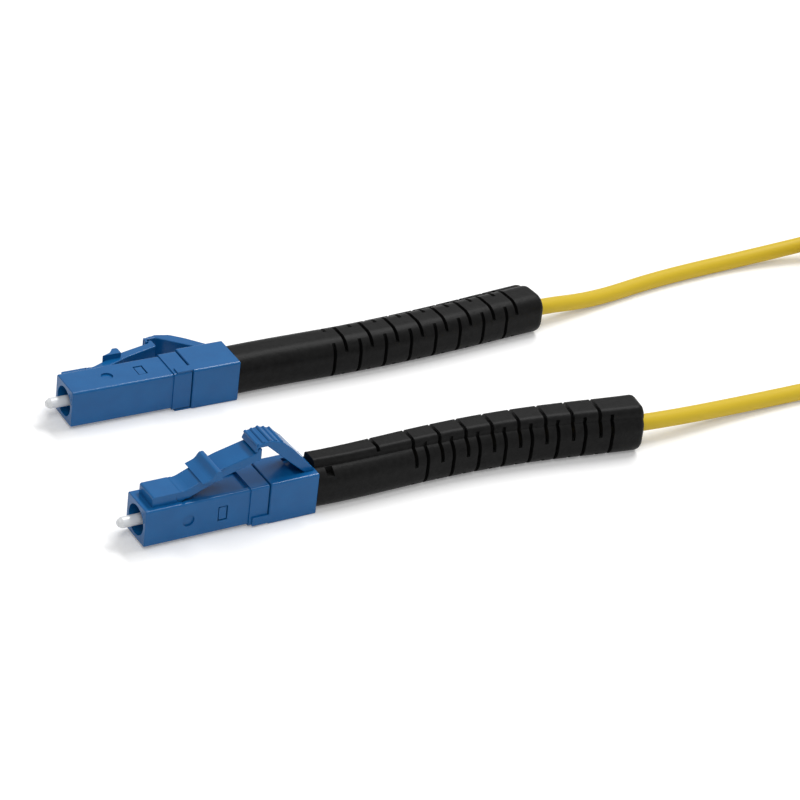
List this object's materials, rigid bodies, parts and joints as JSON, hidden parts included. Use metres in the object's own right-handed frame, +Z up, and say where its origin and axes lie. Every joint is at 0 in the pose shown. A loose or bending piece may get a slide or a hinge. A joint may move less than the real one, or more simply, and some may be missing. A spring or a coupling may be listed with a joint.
{
  "type": "fibre optic patch cable",
  "caption": "Simplex fibre patch lead: small square latched plugs with ceramic ferrules, slotted bend-relief boots and a thin round jacket, spare length coiled and tied.",
  "frame": {"origin": "centre of the footprint of both connectors, on the surface they lie on", "axes": "+X from the plugs' front faces to the boots and the cable, +Y from end A to end B, +Z up"},
  "size_m": [0.1352, 0.0372, 0.0103],
  "materials": {
    "blue_plastic": "moulded, satin gloss",
    "black_elastomer": "moulded, matt",
    "yellow_jacket": "smooth extruded jacket",
    "zirconia": "polished",
    "nickel_plated_brass": "nickel plated",
    "spring_steel": "drawn wire",
    "fibre_buffer": "smooth",
    "aramid": "bundled filaments",
    "black_webbing": "hook and loop band"
  },
  "bodies": {
    "lead": {"plug_housing_a": "blue_plastic", "back_post_a": "blue_plastic", "rear_housing_a": "blue_plastic", "ferrule_spring_a": "spring_steel", "aramid_yarn_a": "aramid", "crimp_sleeve_a": "nickel_plated_brass", "boot_a": "black_elastomer", "plug_housing_b": "blue_plastic", "back_post_b": "blue_plastic", "rear_housing_b": "blue_plastic", "ferrule_spring_b": "spring_steel", "aramid_yarn_b": "aramid", "crimp_sleeve_b": "nickel_plated_brass", "boot_b": "black_elastomer", "cable_run_a": "yellow_jacket", "cable_run_b": "yellow_jacket", "cable_coil": "yellow_jacket", "coil_tie": "black_webbing"},
    "latch_a": {"latch_arm_a": "blue_plastic"},
    "trigger_a": {"trigger_a": "blue_plastic"},
    "ferrule_a": {"ferrule_a": "zirconia", "ferrule_flange_a": "nickel_plated_brass", "buffered_fibre_a": "fibre_buffer"},
    "latch_b": {"latch_arm_b": "blue_plastic"},
    "trigger_b": {"trigger_b": "blue_plastic"},
    "ferrule_b": {"ferrule_b": "zirconia", "ferrule_flange_b": "nickel_plated_brass", "buffered_fibre_b": "fibre_buffer"}
  },
  "joints": [
    {"name": "trigger_hinge_a", "type": "hinge", "parent": "lead", "child": "trigger_a", "pos_m": [-0.01167, -0.01339, 0.00525], "axis": [0, -1, 0], "range_deg": [0, 15], "stiffness_Nm_per_rad": 0.004},
    {"name": "latch_hinge_a", "type": "hinge", "parent": "lead", "child": "latch_a", "pos_m": [-0.02718, -0.01339, 0.00545], "axis": [0, 1, 0], "range_deg": [0, 12]},
    {"name": "ferrule_slide_a", "type": "slide", "parent": "lead", "child": "ferrule_a", "axis": [1, 0, 0], "range_m": [0, 0.001], "stiffness_N_per_m": 1500, "springref_m": -0.003, "deforming": ["ferrule_spring_a"]},
    {"name": "trigger_hinge_b", "type": "hinge", "parent": "lead", "child": "trigger_b", "pos_m": [-0.00871, 0.01334, 0.0026], "axis": [0, 0, 1], "range_deg": [0, 15], "stiffness_Nm_per_rad": 0.004},
    {"name": "latch_hinge_b", "type": "hinge", "parent": "lead", "child": "latch_b", "pos_m": [-0.02421, 0.01388, 0.0026], "axis": [0, 0, -1], "range_deg": [0, 12]},
    {"name": "ferrule_slide_b", "type": "slide", "parent": "lead", "child": "ferrule_b", "axis": [0.9998, -0.0217, 0], "range_m": [0, 0.001], "stiffness_N_per_m": 1500, "springref_m": -0.003, "deforming": ["ferrule_spring_b"]}
  ],
  "couplings": [
    {"joint": "latch_hinge_a", "follows": "trigger_hinge_a", "ratio": 0.8},
    {"joint": "latch_hinge_b", "follows": "trigger_hinge_b", "ratio": 0.8}
  ]
}
